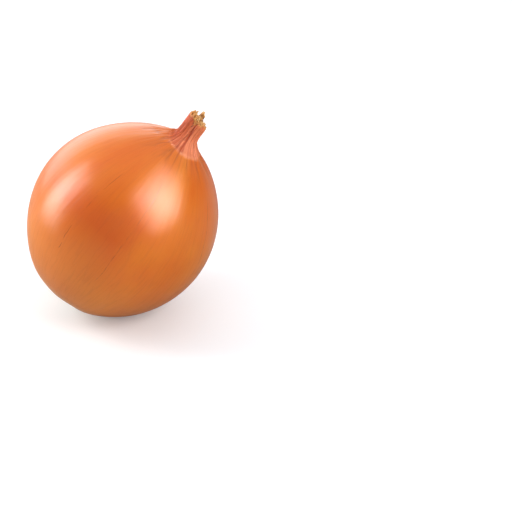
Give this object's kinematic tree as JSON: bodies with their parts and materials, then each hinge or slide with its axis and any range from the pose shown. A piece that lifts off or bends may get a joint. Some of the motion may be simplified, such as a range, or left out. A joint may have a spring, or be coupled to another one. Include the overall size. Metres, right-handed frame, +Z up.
{
  "type": "onion",
  "caption": "Whole yellow onion in dry copper-coloured skin: a globe bulb with a wrinkled neck of torn leaf ends and a root plate with curled stubs, leaning on a small flat spot.",
  "frame": {"origin": "middle of the flat spot that the onion rests on", "axes": "+Z up from the resting spot; the bulb's axis leans 36.5 degrees from +Z towards +X, neck uppermost; +Y is the bulb's side"},
  "size_m": [0.0774, 0.0761, 0.0848],
  "materials": {
    "skin": "dry papery skin with a satin sheen",
    "dry_leaf": "matt straw, torn and fibrous",
    "root": "matt dried root fibre"
  },
  "bodies": {
    "root": {"bulb": "skin", "neck_tuft": "dry_leaf", "root_tuft": "root"}
  },
  "joints": []
}
